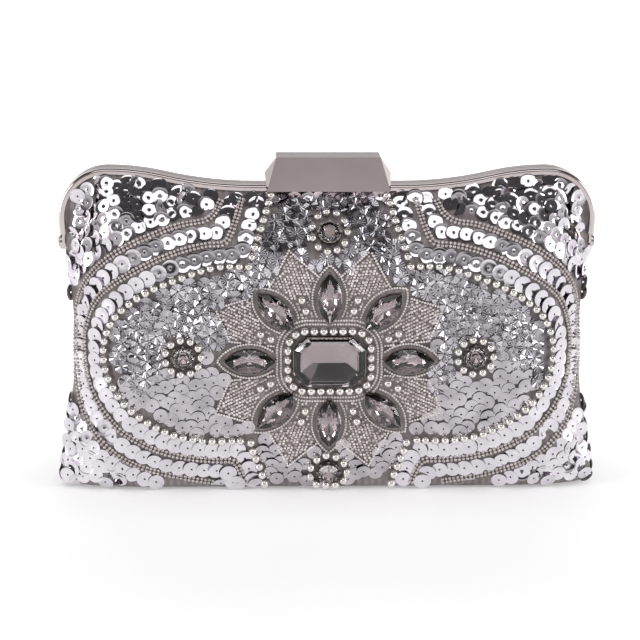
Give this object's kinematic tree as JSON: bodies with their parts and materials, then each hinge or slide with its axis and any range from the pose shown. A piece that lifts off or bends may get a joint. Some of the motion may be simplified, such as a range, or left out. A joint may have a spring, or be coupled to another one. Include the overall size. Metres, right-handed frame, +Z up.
{
  "type": "framed evening clutch bag",
  "caption": "Padded evening clutch with a curved two-part metal frame, a faceted snap clasp and a jewelled front; the rear half swings open on side rivets.",
  "frame": {"origin": "middle of the flat base on which the bag stands", "axes": "+X to the right as the decorated front is seen, along the bag's width; -Y out of the decorated front; +Z up towards the clasp"},
  "size_m": [0.2182, 0.0574, 0.135],
  "materials": {
    "cover_satin": "grey satin with a soft sheen",
    "lining_satin": "darker grey satin lining",
    "padding": "matte foam padding",
    "board": "matte stiffening board",
    "paper_cord": "matte twisted paper",
    "frame_metal": "mirror-polished warm nickel",
    "clasp_metal": "mirror-polished warm nickel",
    "jewel_metal": "polished pale metal",
    "fastener_steel": "plain steel",
    "smoky_crystal": "faceted smoky crystal with a foiled back",
    "pearl": "glossy imitation pearl"
  },
  "bodies": {
    "bag_body": {"bottom_cover": "cover_satin", "bottom_board": "board", "bottom_lining": "lining_satin", "front_cover": "cover_satin", "front_foam": "padding", "front_board": "board", "front_lining": "lining_satin", "rear_cover": "cover_satin", "rear_foam": "padding", "rear_board": "board", "rear_lining": "lining_satin", "slip_pocket": "lining_satin", "left_gusset": "cover_satin", "right_gusset": "cover_satin", "left_gusset_lining": "lining_satin", "right_gusset_lining": "lining_satin", "front_frame": "frame_metal", "front_frame_cord": "paper_cord", "clasp_front_cover": "clasp_metal", "clasp_front_screws": "fastener_steel", "center_crystal": "smoky_crystal", "center_setting": "jewel_metal", "center_pearl_ring": "pearl", "marquise_crystals": "smoky_crystal", "marquise_settings": "jewel_metal", "petal_pearls": "pearl", "medallion_crystals": "smoky_crystal", "medallion_settings": "jewel_metal", "medallion_pearls": "pearl"},
    "rear_half": {"rear_frame": "frame_metal", "rear_frame_cord": "paper_cord", "rear_top_band": "cover_satin", "rear_top_foam": "padding", "rear_top_lining": "lining_satin", "rear_fold_band": "cover_satin", "clasp_rear_cover": "clasp_metal", "clasp_rear_screws": "fastener_steel", "latch_tongue": "fastener_steel", "hinge_rivet_left": "fastener_steel", "hinge_rivet_right": "fastener_steel"},
    "plunger": {"latch_plunger": "fastener_steel", "latch_spring": "fastener_steel"}
  },
  "joints": [
    {"name": "rear_half_swing", "type": "hinge", "parent": "bag_body", "child": "rear_half", "pos_m": [0, 0, 0.0995], "axis": [-1, 0, 0], "range_deg": [0, 55], "deforming": ["rear_fold_band"]},
    {"name": "plunger_slide", "type": "slide", "parent": "bag_body", "child": "plunger", "axis": [0, 0, 1], "range_m": [0, 0.0008], "stiffness_N_per_m": 800, "deforming": ["latch_spring"]}
  ]
}
